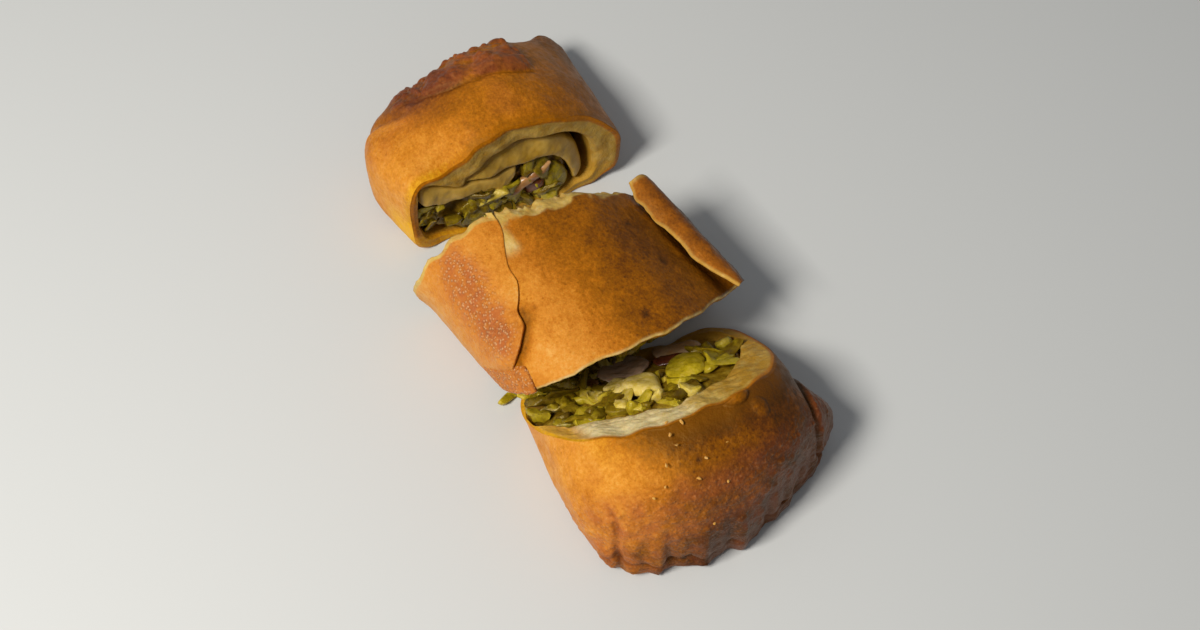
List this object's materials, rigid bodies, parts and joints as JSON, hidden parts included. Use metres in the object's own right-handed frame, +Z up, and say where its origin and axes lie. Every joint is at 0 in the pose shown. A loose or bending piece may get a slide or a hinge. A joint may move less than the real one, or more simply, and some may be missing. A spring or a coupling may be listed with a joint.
{
  "type": "fried spring roll",
  "caption": "Deep-fried vegetable spring roll cut across into slices that lie in line, with rolled dough and chopped filling showing at the cuts.",
  "frame": {"origin": "middle of the whole roll's box, on the surface that the slices rest on", "axes": "+X along the roll from the closed head slice to the crimped tail slice, +Y across it, +Z up"},
  "size_m": [0.1406, 0.0732, 0.0345],
  "materials": {
    "fried_dough": "oily golden-brown fried crust, cream dough at the cuts",
    "chopped_filling": "moist chopped cabbage and leek, olive to lime green"
  },
  "bodies": {
    "root": {"head_wrapper": "fried_dough", "head_filling": "chopped_filling", "middle_wrapper": "fried_dough", "middle_filling": "chopped_filling", "tail_wrapper": "fried_dough", "tail_filling": "chopped_filling"}
  },
  "joints": []
}
